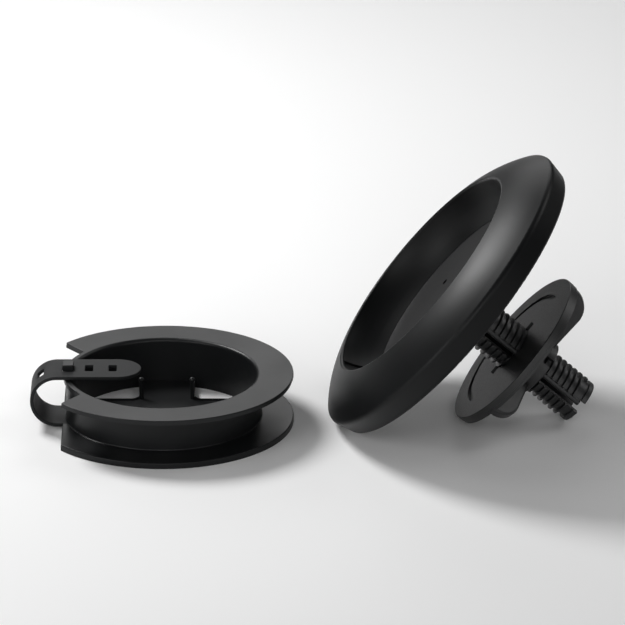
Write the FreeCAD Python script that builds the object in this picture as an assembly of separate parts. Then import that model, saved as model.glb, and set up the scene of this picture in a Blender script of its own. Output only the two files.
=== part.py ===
"""Desk grommet kit: a table mount with its clamp nut, and the cable spool that goes with it.

Millimetres, +Z up, table top at Z = 0, origin on the spool's axis.
The spool stands on its lower flange.  The mount lies beside it on the edge of its bezel
and the tip of its stud, so it is drawn upright first and then laid over.
"""
import os
from math import asin, atan2, cos, degrees, pi, radians, sin, sqrt, tan

import FreeCAD
import Part
from FreeCAD import Rotation, Vector

# ---------------------------------------------------------------- spool
FLANGE_R = 56.2          # outside radius of both flanges
SPOOL_H = 22.1           # overall height of the spool body
DRUM_R = 42.3            # outside of the drum wall
DRUM_WALL = 2.15
FLOOR_T = 2.65           # lower flange and floor web
CAP_T = 1.1              # upper layer of the top flange
UNDER_T = 1.1            # lower layer of the top flange, part of the body
UNDER_STEP = 0.4         # how far the lower layer is set back
CAP_EDGE = 0.4           # round on the cap layer's outer edge
RIM_EDGE = 1.5           # and on its inner rim
SKIRT_H = 1.3            # the cap's inner rim reaches down into a rebate in the drum wall
SKIRT_T = 1.3
NOTCH_ROUND = 0.8
FOOT_EDGE = 0.5          # round on the lower flange
DRUM_FOOT = 0.7          # fillet where the drum meets the lower flange
RIM_R = 43.4             # rim that carries on through the notch
D_CUT_X = 43.8           # flat cut on the lower flange, from the axis
NOTCH_IN_Y = 25.4        # notch half width at the rim
NOTCH_IN_X = 35.8
NOTCH_SLOPE = 52.0       # angle of the notch's sides to the X axis, degrees
WEB_MID_X = 0.9          # middle of the floor web that runs front to back
WEB_HALF_X = 12.1        # and its half width
WEB_HALF_Y = 16.7        # half width of the floor web that runs side to side
WINDOW_ROUND = 4.0
SILL_W = 0.6             # raised sill round each floor window
SILL_H = 0.7
POST_X = 11.1            # from the middle of the web
POST_Y = 18.5
POST_R = 1.0
POST_H = 9.9

# ---------------------------------------------------------------- strap
STRAP_W = 21.2
STRAP_T = 1.5
STRAP_GAP = 0.6          # clear space between the rim and the strap over it
BEND_X = 46.2            # where the straight runs meet the bend
BEND_Z_LOW = 1.1         # underside of the lower run
STRAP_TIP_X = 9.8        # tip of the strap, from the axis
SLOT_L = 3.4
SLOT_W = 6.9
SLOT_PITCH = 10.2
SLOT_FIRST_X = 22.1      # slot nearest the tip
FLEX_ANGLE = 20.0        # where the bend is split, from the top of the bend
KNUCKLE_GAP = 0.3
POCKET_END_X = 38.4      # inner end of the pocket that holds the strap's root
PEG_X = 41.3
PEG_L = 4.7
PEG_W = 6.2
PEG_PROUD = 2.4          # peg height above the strap
PEG_CLEAR_TIP = 0.8      # room the slot needs to swing up past the peg
PEG_CLEAR = 0.3

# ---------------------------------------------------------------- mount, upright
PAD_PROUD = 0.5          # rubber pad stands this far below the bezel
LIP_Z = 21.5             # top of the bezel's inner lip above the table
LIP_R = 53.1             # crown of the lip
LIP_ROUND = 1.2
CREASE_R = 73.5
CREASE_Z = 10.7
CREASE_ROUND = 2.5
FACE_BULGE = 1.25        # how far the sloping face bows out
SIDE_TAPER = 12.5        # degrees
EDGE_ROUND = 1.9
SHELL_T = 2.4
FLOOR_TOP_Z = 6.0
BOWL_FLOOR_R = 44.1
BOWL_BULGE = 1.0
FLOOR_PLATE_T = 2.0
SEAM = 0.3
LEDGE_IN = 3.2           # ledge under the floor plate
VENT_R = 1.35
VENT_X = -1.2
VENT_Y = 18.7
CABLE_EDGE_Y = -0.6      # shallow cable relief in the bowl wall: its upper side
CABLE_W = 11.0
CABLE_DEPTH = 1.2
CABLE_TOP_DROP = 1.4     # relief starts this far below the lip
BASE_T = 2.5
PAD_T = 1.5
PAD_IN_R = 50.0
PAD_OUT_R = 65.0

# ---------------------------------------------------------------- stud and clamp
THREAD_R = 10.4
THREAD_DEPTH = 1.5
PITCH = 3.0
STUD_BORE_R = 6.4
STUD_END_Z = -70.0
STUD_FLANGE_R = 24.0
COLLAR_L = 2.4           # plain collar at the stud's tip
KEY_X = 0.6              # line between the flat and the keyway beside it
LAND_W = 2.8
RIB_R = 1.25             # round rib along the flat, at the keyway's side
RIB_RISE = 0.9           # how far it stands over the flat
KEYWAY_W = 2.4
RIDGE_FOOT = 0.27        # half widths of the thread's ridge, as shares of the pitch
RIDGE_CREST = 0.10
LAND_R = 8.7
TIP_ROUND = 0.6
NUT_CLEAR = 0.35         # radial, over the thread crests
KEY_CLEAR = 0.3          # each side of the disc's keys, in the stud's keyways
KEY_DEEP = 1.0           # how far a key reaches in past the stud's flat
CLAMP_FACE_Z = -31.3
WASHER_R = 37.95
WASHER_T = 2.8
LAYER_GAP = 0.1
GROOVE_R = 28.0
GROOVE_W = 2.4
GROOVE_DEPTH = 1.0
DISC_TURN = 16.0         # how far the disc's marks are turned from its keys, degrees
GROOVE_NEAR = -4.0       # grooves run between these angles, and mirrored
GROOVE_FAR = 67.0
BORE_NOTCH_R = 14.0
BORE_NOTCH_W = 5.0
NUT_FLANGE_T = 1.4
HUB_R = 13.3
HUB_LEN = 15.3           # clamp face to the hub's end
WING_H = 13.4            # clamp face to the wing's edge
WING_T = 4.5
WING_R = 38.0
WING_ROUND = 10.0
WING_FIRST = 0.8
WING_COUNT = 3
HUB_NOTCH_W = 3.7
HUB_NOTCH_L = 7.8
HUB_NOTCH_ANGLE = -51.0

# ---------------------------------------------------------------- where the mount lies
MOUNT_X = 127.2
MOUNT_Y = 2.4

# ---------------------------------------------------------------- follow from the above
DRUM_IN_R = DRUM_R - DRUM_WALL
CAP_Z = SPOOL_H - CAP_T
STRAP_Z = SPOOL_H + STRAP_GAP
BEND_Z = (BEND_Z_LOW + STRAP_Z + STRAP_T) / 2
BEND_R = (STRAP_Z + STRAP_T - BEND_Z_LOW) / 2
BEND_MID_R = BEND_R - STRAP_T / 2
SIDE_SLOPE = tan(radians(SIDE_TAPER))
BASE_R = CREASE_R - SIDE_SLOPE * (CREASE_Z - PAD_PROUD)
NUT_BORE_R = THREAD_R + NUT_CLEAR
ROOT_R = THREAD_R - THREAD_DEPTH
BOWL_R = LIP_R - LIP_ROUND


def cyl(r, z0, z1, x=0.0, y=0.0):
    return Part.makeCylinder(r, z1 - z0, Vector(x, y, z0))


def tube(r_out, r_in, z0, z1):
    return cyl(r_out, z0, z1).cut(cyl(r_in, z0 - 1, z1 + 1))


def block(x0, x1, y0, y1, z0, z1):
    return Part.makeBox(x1 - x0, y1 - y0, z1 - z0, Vector(x0, y0, z0))


def prism(points, z0, z1):
    wire = Part.makePolygon([Vector(x, y, z0) for x, y in points + points[:1]])
    return Part.Face(wire).extrude(Vector(0, 0, z1 - z0))


def revolve(edges):
    """Solid of revolution about Z from edges drawn in the XZ plane."""
    return Part.Face(Part.Wire(edges)).revolve(Vector(0, 0, 0), Vector(0, 0, 1), 360)


def line(a, b):
    return Part.makeLine(Vector(a[0], 0, a[1]), Vector(b[0], 0, b[1]))


def bowed(a, b, bulge):
    """Arc from a to b that bows out to the right of the way from a to b."""
    dx, dz = b[0] - a[0], b[1] - a[1]
    span = sqrt(dx * dx + dz * dz)
    mid = ((a[0] + b[0]) / 2 + dz / span * bulge, (a[1] + b[1]) / 2 - dx / span * bulge)
    return Part.Arc(Vector(a[0], 0, a[1]), Vector(mid[0], 0, mid[1]), Vector(b[0], 0, b[1])).toShape()


def spun(shape, angle):
    out = shape.copy()
    out.rotate(Vector(0, 0, 0), Vector(0, 0, 1), angle)
    return out


def ring_edges(shape, radius, z, tol=0.05):
    """Full-circle edges at one radius and height."""
    found = []
    for edge in shape.Edges:
        box = edge.BoundBox
        if abs(box.ZMin - z) < tol and abs(box.ZMax - z) < tol and abs(box.XMax - radius) < tol:
            found.append(edge)
    return found


# ================================================================ spool
def notch_tool(z0, z1):
    """Wedge cut through the top flange on the strap's side, down to the rim."""
    slope = tan(radians(NOTCH_SLOPE))
    far = 70.0
    y_far = NOTCH_IN_Y + (far - NOTCH_IN_X) * slope
    x_apex = NOTCH_IN_X - NOTCH_IN_Y / slope
    wedge = prism([(-x_apex, 0), (-far, -y_far), (-far, y_far)], z0, z1)
    return wedge.cut(cyl(RIM_R, z0 - 1, z1 + 1))


def flange_ring(r, z0, z1):
    return tube(r, DRUM_IN_R, z0, z1).cut(notch_tool(z0 - 1, z1 + 1))


def round_upright(shape, radius, keep):
    """Fillet the upright edges whose middle passes the test."""
    picked = []
    for edge in shape.Edges:
        a, b = edge.Vertexes[0].Point, edge.Vertexes[-1].Point
        if abs(a.x - b.x) < 1e-4 and abs(a.y - b.y) < 1e-4 and abs(a.z - b.z) > 0.5 and keep(a):
            picked.append(edge)
    return shape.makeFillet(radius, picked)


def floor_window(sx, sy, grow=0.0, z0=-1.0, z1=FLOOR_T + 2):
    """One of the four floor openings, bounded by the two webs and the drum wall."""
    x0, y0, r = WEB_HALF_X + sx * WEB_MID_X - grow, WEB_HALF_Y - grow, WINDOW_ROUND + grow
    far = DRUM_R + 5
    tool = block(x0 + r, far, y0, far, z0, z1)
    tool = tool.fuse(block(x0, far, y0 + r, far, z0, z1))
    tool = tool.fuse(cyl(r, z0, z1, x0 + r, y0 + r))
    tool = tool.common(cyl(DRUM_IN_R + grow, z0, z1))
    if sx < 0:
        tool = tool.mirror(Vector(0, 0, 0), Vector(1, 0, 0))
    if sy < 0:
        tool = tool.mirror(Vector(0, 0, 0), Vector(0, 1, 0))
    return tool


def make_spool_body():
    body = cyl(FLANGE_R, 0, FLOOR_T)
    body = body.cut(block(-FLANGE_R - 5, -D_CUT_X, -80, 80, -1, FLOOR_T + 1))
    body = body.makeFillet(FOOT_EDGE, [e for e in body.Edges if e.BoundBox.ZMin > FLOOR_T - 1e-4])
    body = body.fuse(tube(DRUM_R, DRUM_IN_R, FLOOR_T - 0.5, CAP_Z))
    body = body.makeFillet(DRUM_FOOT, ring_edges(body, DRUM_R, FLOOR_T))
    body = body.fuse(flange_ring(FLANGE_R - UNDER_STEP, CAP_Z - UNDER_T, CAP_Z))
    for sx in (1, -1):
        for sy in (1, -1):
            sill = floor_window(sx, sy, SILL_W, FLOOR_T - 0.5, FLOOR_T + SILL_H)
            x, y = WEB_MID_X + sx * POST_X, sy * POST_Y
            post = cyl(POST_R, FLOOR_T - 0.5, FLOOR_T + POST_H - 0.6, x, y)
            knob = Part.makeSphere(POST_R * 1.3, Vector(x, y, FLOOR_T + POST_H - 1.3))
            body = body.fuse(sill).cut(floor_window(sx, sy)).fuse(post).fuse(knob)
    body = body.cut(tube(DRUM_IN_R + SKIRT_T, DRUM_IN_R - 1, CAP_Z - SKIRT_H, CAP_Z + 1))
    pocket = block(-D_CUT_X - 1, -POCKET_END_X, -STRAP_W / 2 - KNUCKLE_GAP, STRAP_W / 2 + KNUCKLE_GAP,
                   BEND_Z_LOW, FLOOR_T)
    return body.cut(pocket).removeSplitter()


def make_top_flange():
    """Cap layer of the top flange with the peg that the strap buttons onto."""
    cap = flange_ring(FLANGE_R, CAP_Z, SPOOL_H)
    cap = round_upright(cap, 1.4, lambda p: sqrt(p.x ** 2 + p.y ** 2) > FLANGE_R - 1)
    cap = round_upright(cap, NOTCH_ROUND, lambda p: p.x < 0 and abs(sqrt(p.x ** 2 + p.y ** 2) - RIM_R) < 1)
    cap = cap.fuse(tube(DRUM_IN_R + SKIRT_T, DRUM_IN_R, CAP_Z - SKIRT_H, CAP_Z)).removeSplitter()
    cap = cap.makeFillet(RIM_EDGE, ring_edges(cap, DRUM_IN_R, SPOOL_H))
    outer = [e for e in cap.Edges if e.BoundBox.ZMin > SPOOL_H - 1e-4 and e.BoundBox.DiagonalLength > 0.1
             and sqrt(e.CenterOfMass.x ** 2 + e.CenterOfMass.y ** 2) > 1
             and e.Vertexes[0].Point.distanceToPoint(Vector(0, 0, SPOOL_H)) > RIM_R - 1]
    cap = cap.makeFillet(CAP_EDGE, outer)
    peg = block(-PEG_X - PEG_L / 2, -PEG_X + PEG_L / 2, -PEG_W / 2, PEG_W / 2,
                CAP_Z, STRAP_Z + STRAP_T + PEG_PROUD)
    peg = peg.makeFillet(0.4, [e for e in peg.Edges if e.BoundBox.ZMax > SPOOL_H + 1])
    return cap.fuse(peg).removeSplitter()


# ================================================================ strap
def bend_point(angle, radius):
    """Point on the bend, measured from its top towards the outside."""
    a = radians(angle)
    return Vector(-BEND_X - radius * sin(a), 0, BEND_Z + radius * cos(a))


def bend_piece(a0, a1):
    """Part of the bend between two angles."""
    outer = Part.Arc(bend_point(a0, BEND_R), bend_point((a0 + a1) / 2, BEND_R), bend_point(a1, BEND_R))
    r_in = BEND_R - STRAP_T
    inner = Part.Arc(bend_point(a1, r_in), bend_point((a0 + a1) / 2, r_in), bend_point(a0, r_in))
    wire = Part.Wire([outer.toShape(), Part.makeLine(bend_point(a1, BEND_R), bend_point(a1, r_in)),
                      inner.toShape(), Part.makeLine(bend_point(a0, r_in), bend_point(a0, BEND_R))])
    piece = Part.Face(wire).extrude(Vector(0, STRAP_W, 0))
    piece.translate(Vector(0, -STRAP_W / 2, 0))
    return piece


def flex_cyl(radius, half):
    """Cylinder along Y on the line where the strap is split."""
    at = bend_point(FLEX_ANGLE, BEND_MID_R)
    return Part.makeCylinder(radius, 2 * half, Vector(at.x, -half, at.z), Vector(0, 1, 0))


def slot_tool(x0, x1, half, z0, z1):
    tool = block(x0, x1, -half, half, z0, z1)
    return tool.makeFillet(0.4, [e for e in tool.Edges if e.BoundBox.ZLength > (z1 - z0) - 0.01])


def make_strap_tail():
    half = STRAP_W / 2
    z0, z1 = STRAP_Z, STRAP_Z + STRAP_T
    tail = block(-BEND_X, -STRAP_TIP_X - half, -half, half, z0, z1)
    tip = cyl(half, z0, z1, -STRAP_TIP_X - half)
    tail = tail.fuse(tip.common(block(-STRAP_TIP_X - half, 0, -half, half, z0, z1)))
    tail = tail.fuse(bend_piece(0, FLEX_ANGLE))
    tail = tail.fuse(flex_cyl(STRAP_T / 2, half))
    for i in range(2):
        mid = -SLOT_FIRST_X - i * SLOT_PITCH
        tail = tail.cut(slot_tool(mid - SLOT_L / 2, mid + SLOT_L / 2, SLOT_W / 2, z0 - 1, z1 + 1))
    tail = tail.cut(slot_tool(-PEG_X - PEG_L / 2 - PEG_CLEAR, -PEG_X + PEG_L / 2 + PEG_CLEAR_TIP,
                              PEG_W / 2 + PEG_CLEAR + 0.05, z0 - 1, z1 + 1))
    return tail.removeSplitter()


def make_strap_root():
    half = STRAP_W / 2
    root = bend_piece(FLEX_ANGLE, 180)
    root = root.fuse(block(-BEND_X, -POCKET_END_X - 0.1, -half, half, BEND_Z_LOW, BEND_Z_LOW + STRAP_T))
    root = root.cut(flex_cyl(STRAP_T / 2 + KNUCKLE_GAP, half + 1))
    mid = bend_point(39.5, BEND_MID_R)
    slot = block(-SLOT_L / 2, SLOT_L / 2, -SLOT_W / 2, SLOT_W / 2, -3, 3)
    slot.rotate(Vector(0, 0, 0), Vector(0, 1, 0), -39.5)
    slot.translate(mid)
    return root.cut(slot).removeSplitter()


# ================================================================ mount body
def bezel_edges():
    """Outline of the bezel's section, from the foot up the outside and down into the bowl."""
    z0 = PAD_PROUD
    lip_c = (LIP_R, LIP_Z - LIP_ROUND)
    foot_in = BASE_R - SHELL_T
    seat_z = FLOOR_TOP_Z - FLOOR_PLATE_T
    crown = (LIP_R, LIP_Z)
    bowl_top = (LIP_R - LIP_ROUND, lip_c[1])
    bowl_foot = (BOWL_FLOOR_R, FLOOR_TOP_Z)
    crease = (CREASE_R, CREASE_Z)
    in_crease = (CREASE_R - SHELL_T - 0.4, CREASE_Z - 0.6)
    in_lip = (BOWL_R + SHELL_T + 1.0, LIP_Z - SHELL_T - 2.2)
    in_foot = (BOWL_FLOOR_R + SHELL_T, seat_z - 1.0)
    lip_mid = (lip_c[0] - LIP_ROUND * cos(pi / 4), lip_c[1] + LIP_ROUND * sin(pi / 4))
    lip = Part.Arc(Vector(crown[0], 0, crown[1]), Vector(lip_mid[0], 0, lip_mid[1]),
                   Vector(bowl_top[0], 0, bowl_top[1])).toShape()
    return [line((foot_in, z0), (BASE_R, z0)), line((BASE_R, z0), crease),
            bowed(crease, crown, FACE_BULGE), lip,
            bowed(bowl_top, bowl_foot, -BOWL_BULGE), line(bowl_foot, (BOWL_FLOOR_R, seat_z)),
            line((BOWL_FLOOR_R, seat_z), (BOWL_FLOOR_R - LEDGE_IN, seat_z)),
            line((BOWL_FLOOR_R - LEDGE_IN, seat_z), (BOWL_FLOOR_R - LEDGE_IN, seat_z - 1.0)),
            line((BOWL_FLOOR_R - LEDGE_IN, seat_z - 1.0), in_foot), line(in_foot, in_lip),
            bowed(in_lip, in_crease, -FACE_BULGE), line(in_crease, (foot_in, z0))]


def make_bezel_shell():
    bezel = revolve(bezel_edges())
    bezel = bezel.makeFillet(CREASE_ROUND, ring_edges(bezel, CREASE_R, CREASE_Z))
    bezel = bezel.makeFillet(EDGE_ROUND, ring_edges(bezel, BASE_R, PAD_PROUD))
    top = LIP_Z - CABLE_TOP_DROP
    z_in, r_top, r_low = FLOOR_TOP_Z - 0.01, BOWL_R + CABLE_DEPTH - 0.45, BOWL_FLOOR_R + CABLE_DEPTH
    relief = revolve([line((30, z_in), (r_low, z_in)), bowed((r_low, z_in), (r_top, top), BOWL_BULGE),
                      line((r_top, top), (30, top)), line((30, top), (30, z_in))])
    side = block(-80, 0, CABLE_EDGE_Y - CABLE_W, CABLE_EDGE_Y, 0, 40)
    return bezel.cut(relief.common(side))


def make_floor_plate():
    plate = cyl(BOWL_FLOOR_R - SEAM, FLOOR_TOP_Z - FLOOR_PLATE_T, FLOOR_TOP_Z)
    plate = plate.makeFillet(0.3, ring_edges(plate, BOWL_FLOOR_R - SEAM, FLOOR_TOP_Z))
    return plate.cut(cyl(VENT_R, 0, LIP_Z, VENT_X, VENT_Y))


def make_base_plate():
    """Closes the underside; the stud hangs through its centre and the pad sits in its recess."""
    z0, z1 = PAD_PROUD, PAD_PROUD + BASE_T
    plate = cyl(BASE_R - SHELL_T - 0.2, z0, z1).cut(cyl(THREAD_R + 0.3, z0 - 1, z1 + 1))
    return plate.cut(tube(PAD_OUT_R + 0.1, PAD_IN_R - 0.1, z0 - 1, PAD_T))


def make_desk_pad():
    return tube(PAD_OUT_R, PAD_IN_R, 0, PAD_T)


# ================================================================ stud and clamp
def thread_ridge(z_low, z_high):
    """Trapezoidal ridge wound round the stud's core, right-handed."""
    turns = int((z_high - z_low) / PITCH)
    start = z_high - turns * PITCH
    helix = Part.makeHelix(PITCH, turns * PITCH - PITCH * 0.5, ROOT_R)
    foot, crest, sunk = PITCH * RIDGE_FOOT, PITCH * RIDGE_CREST, 0.4
    pts = [(ROOT_R - sunk, -foot), (THREAD_R, -crest), (THREAD_R, crest), (ROOT_R - sunk, foot)]
    wire = Part.makePolygon([Vector(x, 0, z) for x, z in pts + pts[:1]])
    ridge = Part.Wire(helix).makePipeShell([wire], True, True)
    ridge.translate(Vector(0, 0, start + PITCH * 0.25))
    return ridge


def make_threaded_stud():
    """Hollow stud with a keyway on two sides and a flange clamped under the floor plate."""
    top = PAD_PROUD + BASE_T
    collar_z = STUD_END_Z + COLLAR_L
    stud = cyl(ROOT_R, STUD_END_Z, top)
    stud = stud.fuse(thread_ridge(collar_z + 0.2, -0.4))
    collar = cyl(ROOT_R + THREAD_DEPTH * 0.75, STUD_END_Z, collar_z)
    collar = collar.makeFillet(TIP_ROUND, ring_edges(collar, ROOT_R + THREAD_DEPTH * 0.75, STUD_END_Z))
    tip = cyl(THREAD_R + 5, STUD_END_Z - 1, collar_z)
    stud = stud.cut(tip).fuse(collar)
    for half_turn in (0, 180):
        side = block(KEY_X, KEY_X + LAND_W, -THREAD_R - 2, -LAND_R, collar_z, 0)
        keyway = block(KEY_X - KEYWAY_W, KEY_X, -THREAD_R - 2, -STUD_BORE_R + 1.0, collar_z, 0)
        mouth = block(KEY_X - KEYWAY_W, KEY_X + LAND_W, -THREAD_R - 2, -STUD_BORE_R + 1.0, STUD_END_Z - 1,
                      collar_z)
        stud = stud.cut(spun(side.fuse(keyway).fuse(mouth), half_turn))
        rib = cyl(RIB_R, collar_z, 0, KEY_X + RIB_R, -LAND_R - RIB_RISE + RIB_R)
        stud = stud.fuse(spun(rib, half_turn))
    flange = cyl(STUD_FLANGE_R, top, FLOOR_TOP_Z - FLOOR_PLATE_T)
    neck = cyl(THREAD_R, 0, top)
    stud = stud.fuse(neck).fuse(flange)
    return stud.cut(cyl(STUD_BORE_R, STUD_END_Z - 1, top)).removeSplitter()


def arc_groove(r, width, a0, a1, z0, z1):
    """Curved slot with round ends."""
    mid = radians((a0 + a1) / 2)
    far = 2 * r
    pts = [(0, 0)]
    for i in range(9):
        a = radians(a0 + (a1 - a0) * i / 8)
        pts.append((far * cos(a), far * sin(a)))
    tool = tube(r + width / 2, r - width / 2, z0, z1).common(prism(pts, z0, z1))
    for a in (a0, a1):
        tool = tool.fuse(cyl(width / 2, z0, z1, r * cos(radians(a)), r * sin(radians(a))))
    return tool


def make_clamp_washer():
    """Pressure disc: keyed to the stud, so it slides without turning."""
    z1, z0 = CLAMP_FACE_Z, CLAMP_FACE_Z - WASHER_T
    disc = cyl(WASHER_R, z0, z1)
    disc = disc.makeFillet(0.4, ring_edges(disc, WASHER_R, z1))
    disc = disc.cut(cyl(NUT_BORE_R, z0 - 1, z1 + 1))
    for side in (0, 180):
        notch = block(NUT_BORE_R - 2, BORE_NOTCH_R, -BORE_NOTCH_W / 2, BORE_NOTCH_W / 2, z0 - 1, z1 + 1)
        disc = disc.cut(spun(notch, side + DISC_TURN))
    for a0, a1 in ((GROOVE_NEAR, GROOVE_FAR), (180 - GROOVE_FAR, 180 - GROOVE_NEAR)):
        disc = disc.cut(arc_groove(GROOVE_R, GROOVE_W, a0 + DISC_TURN, a1 + DISC_TURN,
                                   z1 - GROOVE_DEPTH, z1 + 1))
    for side in (0, 180):
        key = block(KEY_X - KEYWAY_W + KEY_CLEAR, KEY_X - KEY_CLEAR, -NUT_BORE_R - 1, -LAND_R + KEY_DEEP,
                    z0, z1)
        disc = disc.fuse(spun(key, side))
    return disc.removeSplitter()


def wing(angle):
    z_base = CLAMP_FACE_Z - WASHER_T - LAYER_GAP
    z_edge = CLAMP_FACE_Z - WING_H
    fin = block(HUB_R - 1.5, WING_R, -WING_T / 2, WING_T / 2, z_edge, z_base - 0.2)
    corner = [e for e in fin.Edges if e.BoundBox.XMin > WING_R - 0.01 and e.BoundBox.ZMax < z_edge + 0.01]
    fin = fin.makeFillet(WING_ROUND, corner)
    sides = [e for e in fin.Edges if abs(abs(e.CenterOfMass.y) - WING_T / 2) < 0.01]
    rim = [e for e in sides if e.BoundBox.ZMin < z_base - 1 and e.BoundBox.XMax > HUB_R]
    fin = fin.makeFillet(1.0, rim)
    return spun(fin, angle)


def make_wing_nut():
    z1 = CLAMP_FACE_Z - WASHER_T - LAYER_GAP
    hub_end = CLAMP_FACE_Z - HUB_LEN
    nut = cyl(WASHER_R - 0.2, z1 - NUT_FLANGE_T, z1)
    hub = cyl(HUB_R, hub_end, z1)
    hub = hub.makeFillet(0.5, ring_edges(hub, HUB_R, hub_end))
    nut = nut.fuse(hub)
    for i in range(WING_COUNT):
        nut = nut.fuse(wing(WING_FIRST + i * 360.0 / WING_COUNT))
    nut = nut.cut(cyl(NUT_BORE_R, hub_end - 1, z1 + 1))
    half = HUB_NOTCH_W / 2
    notch = block(NUT_BORE_R - 2, HUB_R + 2, -half, half, hub_end - 1, hub_end + HUB_NOTCH_L)
    for i in range(WING_COUNT):
        nut = nut.cut(spun(notch, HUB_NOTCH_ANGLE + i * 360.0 / WING_COUNT))
    return nut.removeSplitter()


# ================================================================ laying the mount down
def lie_down():
    """Placement that rests the mount on its bezel's foot and its stud's tip."""
    foot_r = CREASE_R - SIDE_SLOPE * (CREASE_Z - PAD_PROUD - EDGE_ROUND) - EDGE_ROUND
    foot_z = PAD_PROUD + EDGE_ROUND
    tip_r = ROOT_R + THREAD_DEPTH * 0.75 - TIP_ROUND
    tip_z = STUD_END_Z + TIP_ROUND
    run, rise = foot_r - tip_r, foot_z - tip_z
    reach = sqrt(run * run + rise * rise)
    tilt = atan2(run, rise) - pi / 2 + asin((EDGE_ROUND - TIP_ROUND) / reach)
    lift = EDGE_ROUND - foot_r * sin(tilt) - foot_z * cos(tilt)
    return FreeCAD.Placement(Vector(MOUNT_X, MOUNT_Y, lift), Rotation(Vector(0, 1, 0), degrees(tilt)))


def laid(shape):
    out = shape.copy()
    out.transformShape(lie_down().toMatrix())
    return out


PARTS = {
    "spool_body": make_spool_body,
    "top_flange": make_top_flange,
    "strap_root": make_strap_root,
    "strap_tail": make_strap_tail,
}
MOUNT_PARTS = {
    "bezel_shell": make_bezel_shell,
    "floor_plate": make_floor_plate,
    "base_plate": make_base_plate,
    "desk_pad": make_desk_pad,
    "threaded_stud": make_threaded_stud,
    "clamp_washer": make_clamp_washer,
    "wing_nut": make_wing_nut,
}

os.makedirs("parts", exist_ok=True)
for name, make in PARTS.items():
    make().exportStep("parts/" + name + ".step")
for name, make in MOUNT_PARTS.items():
    laid(make()).exportStep("parts/" + name + ".step")
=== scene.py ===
"""Desk grommet kit on a white table: the cable spool with its strap, and the table mount with its clamp.

Metres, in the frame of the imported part: +Z up, table top at Z = 0, origin on the spool's axis.
"""
from math import cos, pi, radians, sin

import bmesh
import bpy
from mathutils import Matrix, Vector


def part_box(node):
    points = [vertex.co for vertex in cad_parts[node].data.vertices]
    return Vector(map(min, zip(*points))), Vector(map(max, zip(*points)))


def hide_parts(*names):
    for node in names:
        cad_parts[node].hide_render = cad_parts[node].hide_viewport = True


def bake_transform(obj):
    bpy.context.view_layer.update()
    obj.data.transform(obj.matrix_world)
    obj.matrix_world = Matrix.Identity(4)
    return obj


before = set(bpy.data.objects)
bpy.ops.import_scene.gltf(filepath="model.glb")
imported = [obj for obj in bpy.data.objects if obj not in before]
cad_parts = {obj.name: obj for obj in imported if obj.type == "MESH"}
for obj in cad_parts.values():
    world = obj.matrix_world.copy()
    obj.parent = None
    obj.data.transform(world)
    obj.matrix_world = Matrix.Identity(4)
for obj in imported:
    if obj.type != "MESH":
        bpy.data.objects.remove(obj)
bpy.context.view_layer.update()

# ---------------------------------------------------------------- spool
# The cable spool is two injection mouldings in black ABS: the body with its floor and drum wall, and a
# thin cap layer with the strap's peg, welded onto the body's upper flange.
# The moulds were spark-eroded, so both come out with the same fine satin grain.
MM = 0.001


def linear(code):
    """Linear colour of an sRGB hex value, with full alpha."""
    parts = [int(code[i:i + 2], 16) / 255 for i in (0, 2, 4)]
    return [c / 12.92 if c <= 0.04045 else ((c + 0.055) / 1.055) ** 2.4 for c in parts] + [1.0]


def add(tree, kind, inputs, **settings):
    """Adds a node. An input is a plain value, or the output socket of another node, which is linked."""
    node = tree.nodes.new(kind)
    for name, value in settings.items():
        setattr(node, name, value)
    for name, value in inputs.items():
        if isinstance(value, bpy.types.NodeSocket):
            tree.links.new(value, node.inputs[name])
        else:
            node.inputs[name].default_value = value
    return node


def blank(name):
    """New material with an empty node tree, and the place on the piece that its patterns start from."""
    material = bpy.data.materials.new(name)
    material.use_nodes = True
    tree = material.node_tree
    tree.nodes.clear()
    return material, tree, add(tree, "ShaderNodeTexCoord", {}).outputs["Object"]


def plastic(tree, colour, roughness, height, depth, ior=1.5, gleam=0.5):
    """Ends a material with one plastic shader, its surface raised by height over depth metres.

    gleam is one half for a bare surface, and less where pits too small to draw swallow some of the gloss.
    """
    bump = add(tree, "ShaderNodeBump", {"Height": height, "Strength": 1.0, "Distance": depth})
    skin = add(tree, "ShaderNodeBsdfPrincipled", {"Base Color": colour, "IOR": ior,
                                                  "Specular IOR Level": gleam, "Roughness": roughness,
                                                  "Normal": bump.outputs["Normal"]})
    add(tree, "ShaderNodeOutputMaterial", {"Surface": skin.outputs["BSDF"]})


def moulded(name, dark, light, roughness, grain, depth, patch=0.03, ior=1.5, gleam=0.22):
    """Moulded plastic: a colour that drifts a little over the part, and a surface grain from the mould.

    roughness is the range that the drift gives; grain, depth and patch, the drift's width, are in metres.
    """
    material, tree, place = blank(name)
    drift = add(tree, "ShaderNodeTexNoise", {"Vector": place, "Scale": 1 / patch, "Detail": 3.0})
    tint = add(tree, "ShaderNodeMix", {"Factor": drift.outputs["Fac"], "A": linear(dark), "B": linear(light)},
               data_type="RGBA")
    gloss = add(tree, "ShaderNodeMapRange", {"Value": drift.outputs["Fac"], "From Min": 0.3, "From Max": 0.7,
                                             "To Min": roughness[0], "To Max": roughness[1]})
    pits = add(tree, "ShaderNodeTexNoise", {"Vector": place, "Scale": 1 / grain, "Detail": 2.0})
    plastic(tree, tint.outputs["Result"], gloss.outputs["Result"], pits.outputs["Fac"], depth, ior, gleam)
    return material


def clothe(piece, material):
    """Gives a piece one material in place of all it had."""
    piece.data.materials.clear()
    piece.data.materials.append(material)


# ABS, spark-eroded: satin black with a broad soft highlight. The real grain is about 0.1 mm wide, which is
# too fine to show, so it is drawn three times as wide.
spool_abs = moulded("spark_eroded_abs", "151617", "191a1b", (0.34, 0.40), 0.3 * MM, 0.004 * MM, gleam=0.23)
clothe(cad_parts["spool_body"], spool_abs)
clothe(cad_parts["top_flange"], spool_abs)

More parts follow.
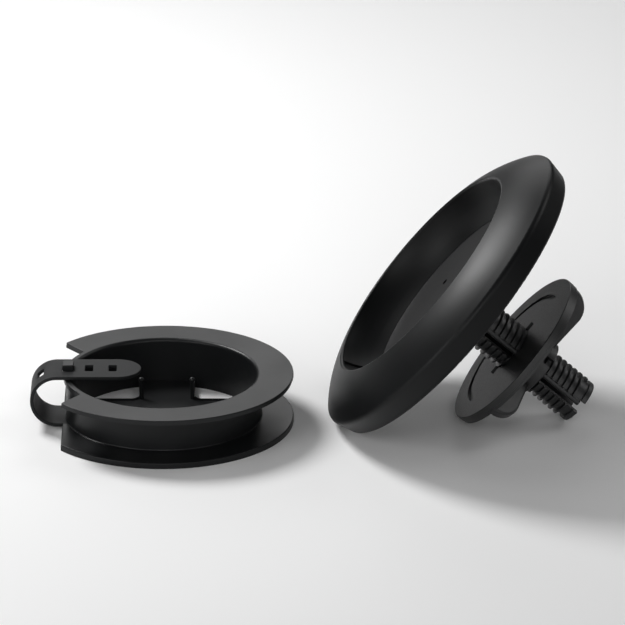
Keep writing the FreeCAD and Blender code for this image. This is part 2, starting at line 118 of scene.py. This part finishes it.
# ---------------------------------------------------------------- strap
# The strap is one flat moulding in silicone rubber. Its root is held in the spool's floor, it bends up
# round the notch, and a hole buttons over the peg; the other holes take more cable.
STRAP_THICK = 1.5 * MM
STRAP_EDGE = 0.3 * MM             # round on all its edges
tail_low, tail_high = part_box("strap_tail")
root_low, root_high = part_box("strap_root")
strap_half = tail_high.y
bend_r = (tail_high.z - root_low.z) / 2
bend_x = root_low.x + bend_r
bend_z = root_low.z + bend_r
mid_r = bend_r - STRAP_THICK / 2
lower_run = root_high.x - bend_x
upper_run = tail_high.x - bend_x
strap_length = lower_run + pi * mid_r + upper_run


def on_strap(along, across, out):
    """Place of a point of the flat strap once it is bent; out is the distance from its mid-surface."""
    if along < lower_run:
        return Vector((bend_x + lower_run - along, across, bend_z - mid_r - out))
    turned = (along - lower_run) / mid_r
    if turned < pi:
        return Vector((bend_x - (mid_r + out) * sin(turned), across, bend_z - (mid_r + out) * cos(turned)))
    return Vector((bend_x + along - lower_run - pi * mid_r, across, bend_z + mid_r + out))


def ring(corners, round_r, steps=6):
    """Closed outline round a rectangle's corners, each rounded in that many steps, as a list of points."""
    points = []
    for i, corner in enumerate(corners):
        before = (Vector(corners[i - 1]) - Vector(corner)).normalized()
        after = (Vector(corners[(i + 1) % len(corners)]) - Vector(corner)).normalized()
        centre = Vector(corner) + (before + after) * round_r
        start = Vector(corner) + before * round_r - centre
        end = Vector(corner) + after * round_r - centre
        for k in range(steps + 1):
            turn = pi / 2 * k / steps
            points.append(centre + start * cos(turn) + end * sin(turn))
    return points


HOLE_ROUND = 0.5 * MM             # in the corners of the holes


def hole(middle, length, width):
    """Outline of a hole in the flat strap, drawn wider by the edge's round, which fills it in again."""
    a, b = length / 2 + STRAP_EDGE, width / 2 + STRAP_EDGE
    corners = [(middle - a, -b), (middle + a, -b), (middle + a, b), (middle - a, b)]
    return ring(corners, HOLE_ROUND + STRAP_EDGE)


def flat_solid(name, outlines, thickness, edge):
    """Mesh of a plate from closed outlines, its rim and its holes, with rounded edges."""
    curve = bpy.data.curves.new(name, "CURVE")
    curve.dimensions, curve.fill_mode = "2D", "BOTH"
    curve.extrude, curve.bevel_depth, curve.bevel_resolution = thickness / 2 - edge, edge, 3
    for outline in outlines:
        spline = curve.splines.new("POLY")
        spline.points.add(len(outline) - 1)
        for point, place in zip(spline.points, outline):
            point.co = (place[0], place[1], 0, 1)
        spline.use_cyclic_u = True
    holder = bpy.data.objects.new(name + "_outline", curve)
    bpy.context.collection.objects.link(holder)
    bpy.context.view_layer.update()
    mesh = bpy.data.meshes.new_from_object(holder.evaluated_get(bpy.context.evaluated_depsgraph_get()))
    bpy.data.objects.remove(holder)
    mesh.name = name
    return mesh


def smooth(mesh, angle=35):
    """Smooth shading except over edges sharper than the angle."""
    mesh.polygons.foreach_set("use_smooth", [True] * len(mesh.polygons))
    mesh.set_sharp_from_angle(angle=radians(angle))


def shown(name, mesh):
    """Puts a mesh in the scene as a piece of its own."""
    piece = bpy.data.objects.new(name, mesh)
    bpy.context.collection.objects.link(piece)
    return piece


HOLE_L, HOLE_W = 3.4 * MM, 6.9 * MM
HOLE_X = (-22.1 * MM, -32.3 * MM)
BEND_HOLE_ANGLE = 39.5            # from the top of the bend, degrees
PEG_HOLE_L, PEG_HOLE_W = 5.0 * MM, 6.5 * MM
PEG_HOLE_X = -41.3 * MM
TIP_STEPS = 32
reach = strap_half - STRAP_EDGE
tip_mid = strap_length - strap_half
rim = [Vector((0, -reach)), Vector((0, reach))]
for k in range(TIP_STEPS + 1):
    turn = pi / 2 - pi * k / TIP_STEPS
    rim.append(Vector((tip_mid + reach * cos(turn), reach * sin(turn))))
top_of_bend = lower_run + pi * mid_r
holes = [hole(top_of_bend + x - bend_x, HOLE_L, HOLE_W) for x in HOLE_X]
holes.append(hole(top_of_bend + PEG_HOLE_X - bend_x, PEG_HOLE_L, PEG_HOLE_W))
holes.append(hole(top_of_bend - radians(BEND_HOLE_ANGLE) * mid_r, HOLE_L, HOLE_W))
strap_mesh = flat_solid("strap", [rim] + holes, STRAP_THICK, STRAP_EDGE)

# The flat strap is cut across every millimetre, so that it can take the bend.
SAME_PLACE = 0.002 * MM
flat = bmesh.new()
flat.from_mesh(strap_mesh)
bmesh.ops.remove_doubles(flat, verts=flat.verts, dist=SAME_PLACE)
strap_cuts = int(strap_length / MM)
for k in range(1, strap_cuts):
    bmesh.ops.bisect_plane(flat, geom=flat.verts[:] + flat.edges[:] + flat.faces[:], dist=SAME_PLACE,
                           plane_co=(strap_length * k / strap_cuts, 0, 0), plane_no=(1, 0, 0))
for vert in flat.verts:
    vert.co = on_strap(vert.co.x, vert.co.y, vert.co.z)
bmesh.ops.recalc_face_normals(flat, faces=flat.faces)
flat.to_mesh(strap_mesh)
flat.free()
smooth(strap_mesh)
strap = shown("strap", strap_mesh)
# Silicone rubber from a fine-ground mould: matter and greyer than the ABS, so the strap stands out on it.
# The ground finish is finer than a tenth of a millimetre and is drawn five times as wide.
silicone = moulded("silicone_rubber", "1a1b1c", "1f2021", (0.50, 0.58), 0.5 * MM, 0.003 * MM, ior=1.42)
clothe(strap, silicone)
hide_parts("strap_root", "strap_tail")
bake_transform(strap)

# ---------------------------------------------------------------- bezel
# The bezel is a dished ring in ABS, sprayed with a soft-touch lacquer: a sloping face, a crease, a side
# wall and the bowl that a round device sits in. The lacquer hides the mould's grain.
# Lacquered ABS: smoother than bare ABS, so the light runs off it in one long even sweep. What ripple it
# has is orange peel about a millimetre wide.
bezel_lacquer = moulded("soft_touch_lacquer_on_abs", "0a0b0c", "0e0f10", (0.40, 0.44), 1.2 * MM, 0.004 * MM,
                         gleam=0.2)
clothe(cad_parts["bezel_shell"], bezel_lacquer)

# ---------------------------------------------------------------- bowl floor
# The floor of the bowl is a separate disc pressed in behind the bezel, moulded in a soft rubber so that
# the device doesn't slide.
# Thermoplastic rubber: a dull black with hardly any highlight, grained half a millimetre wide.
floor_rubber = moulded("thermoplastic_rubber", "0f0f10", "131314", (0.55, 0.62), 0.5 * MM, 0.006 * MM,
                       ior=1.45, gleam=0.32)
clothe(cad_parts["floor_plate"], floor_rubber)

# ---------------------------------------------------------------- underside
# The base plate, moulded in ABS, closes the bezel from below. The pad is a ring punched from foam sheet
# and glued into the plate's recess, where it grips the table.
# Plain ABS from an unpolished mould: a shade rougher than the spool's, with the same grain.
base_abs = moulded("plain_moulded_abs", "0e0f10", "121314", (0.46, 0.54), 0.3 * MM, 0.005 * MM)
clothe(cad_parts["base_plate"], base_abs)
# Closed-cell foam: dead matt, pebbled by cells about a millimetre wide. Its colour darkens from each cell's
# middle to its edge, where the surface sinks: painted shade in the grooves between the cells.
CELL = 1.0 * MM
pad_foam, tree, place = blank("closed_cell_foam")
cells = add(tree, "ShaderNodeTexVoronoi", {"Vector": place, "Scale": 1 / CELL})
# Painted shade: darker towards the cells' edges, in the sunken grooves that the bump below draws.
painted_groove_shade = add(tree, "ShaderNodeMix", {"Factor": cells.outputs["Distance"], "A": linear("1a1a1b"),
                                    "B": linear("0c0c0d")}, data_type="RGBA")
plastic(tree, painted_groove_shade.outputs["Result"], 0.9, cells.outputs["Distance"], -0.12 * MM, gleam=0.2)
clothe(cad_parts["desk_pad"], pad_foam)

# ---------------------------------------------------------------- stud and clamp
# The stud, the clamp disc and the wing nut are moulded in nylon filled with short glass fibres. The disc
# is keyed to the stud's slots and slides; the nut turns on the thread behind it.
# Glass-filled nylon: a dull black with faint grey streaks where fibres lie at the surface. The fibres are
# about 0.3 mm long, so the streaks are drawn six times as long to show.
STREAK_W, STREAK_L = 0.35 * MM, 2.0 * MM
nylon, tree, place = blank("glass_filled_nylon")
laid = add(tree, "ShaderNodeMapping", {"Vector": place, "Scale": (1 / STREAK_W, 1 / STREAK_W, 1 / STREAK_L)})
fibres = add(tree, "ShaderNodeTexNoise", {"Vector": laid.outputs["Vector"], "Scale": 1.0, "Detail": 2.0})
bare = add(tree, "ShaderNodeMapRange", {"Value": fibres.outputs["Fac"], "From Min": 0.5, "From Max": 0.7})
tint = add(tree, "ShaderNodeMix", {"Factor": bare.outputs["Result"], "A": linear("101112"),
                                   "B": linear("1b1c1e")}, data_type="RGBA")
gloss = add(tree, "ShaderNodeMapRange", {"Value": bare.outputs["Result"], "To Min": 0.42, "To Max": 0.54})
plastic(tree, tint.outputs["Result"], gloss.outputs["Result"], fibres.outputs["Fac"], 0.008 * MM, ior=1.53,
        gleam=0.65)
for part in ("threaded_stud", "clamp_washer", "wing_nut"):
    clothe(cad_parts[part], nylon)

# ---------------------------------------------------------------- table, lights and camera
# A seamless white table with soft round lamps on every side, and a long lens looking 21 degrees down.
TABLE_HALF = 6.0
table_mesh = bpy.data.meshes.new("table")
table_mesh.from_pydata([(-TABLE_HALF, -TABLE_HALF, 0), (TABLE_HALF, -TABLE_HALF, 0),
                        (TABLE_HALF, TABLE_HALF, 0), (-TABLE_HALF, TABLE_HALF, 0)], [], [(0, 1, 2, 3)])
table = shown("table", table_mesh)
# White paper: matt and even.
paper = moulded("white_paper", "f4f4f4", "f6f6f6", (0.9, 0.95), 2.0 * MM, 0.002 * MM, patch=0.3)
clothe(table, paper)

# The key stands close behind the spool, so the spool's flange is bright and the mount's falls off.
AIM = Vector((64.4, 0.0, 50.0)) * MM
LIGHTS = {
    # name: (azimuth from +X towards +Y, elevation, distance, width, watts), with lengths in metres
    "key_back_left": (138, 43, 0.85, 0.34, 6.4),
    "fill_front": (270, 22, 2.0, 1.1, 9),
    "rim_back_right": (28, 38, 2.0, 1.1, 6.0),
    "rim_back": (90, 24, 2.0, 1.1, 4.5),
    "side_left": (222, 18, 0.8, 0.5, 1.6),
    "side_right": (315, 18, 2.0, 1.1, 3.4),
    "top_left": (180, 60, 2.0, 1.1, 2.4),
}
for name, (azimuth, elevation, distance, width, power) in LIGHTS.items():
    lamp = bpy.data.lights.new(name, "AREA")
    lamp.shape, lamp.size, lamp.energy = "DISK", width, power
    holder = bpy.data.objects.new(name, lamp)
    bpy.context.collection.objects.link(holder)
    a, e = radians(azimuth), radians(elevation)
    away = Vector((cos(a) * cos(e), sin(a) * cos(e), sin(e)))
    holder.location = AIM + away * distance
    holder.rotation_mode = "QUATERNION"
    holder.rotation_quaternion = away.to_track_quat("Z", "Y")

ROOM_GLOW = 0.03
world = bpy.data.worlds.new("studio")
world.use_nodes = True
background = world.node_tree.nodes["Background"]
background.inputs["Color"].default_value = linear("ffffff")
background.inputs["Strength"].default_value = ROOM_GLOW
bpy.context.scene.world = world
bpy.context.scene.view_settings.view_transform = "Standard"

LENS, SENSOR = 426.8, 36.0        # the camera's own millimetres
CAMERA_DISTANCE = 3199.0 * MM
CAMERA_PITCH = radians(21.2)
camera_data = bpy.data.cameras.new("camera")
camera_data.lens, camera_data.sensor_width = LENS, SENSOR
camera_data.clip_start, camera_data.clip_end = 0.1, 50.0
camera = bpy.data.objects.new("camera", camera_data)
bpy.context.collection.objects.link(camera)
camera.location = AIM + Vector((0, -cos(CAMERA_PITCH), sin(CAMERA_PITCH))) * CAMERA_DISTANCE
camera.rotation_euler = (pi / 2 - CAMERA_PITCH, 0, 0)
bpy.context.scene.camera = camera
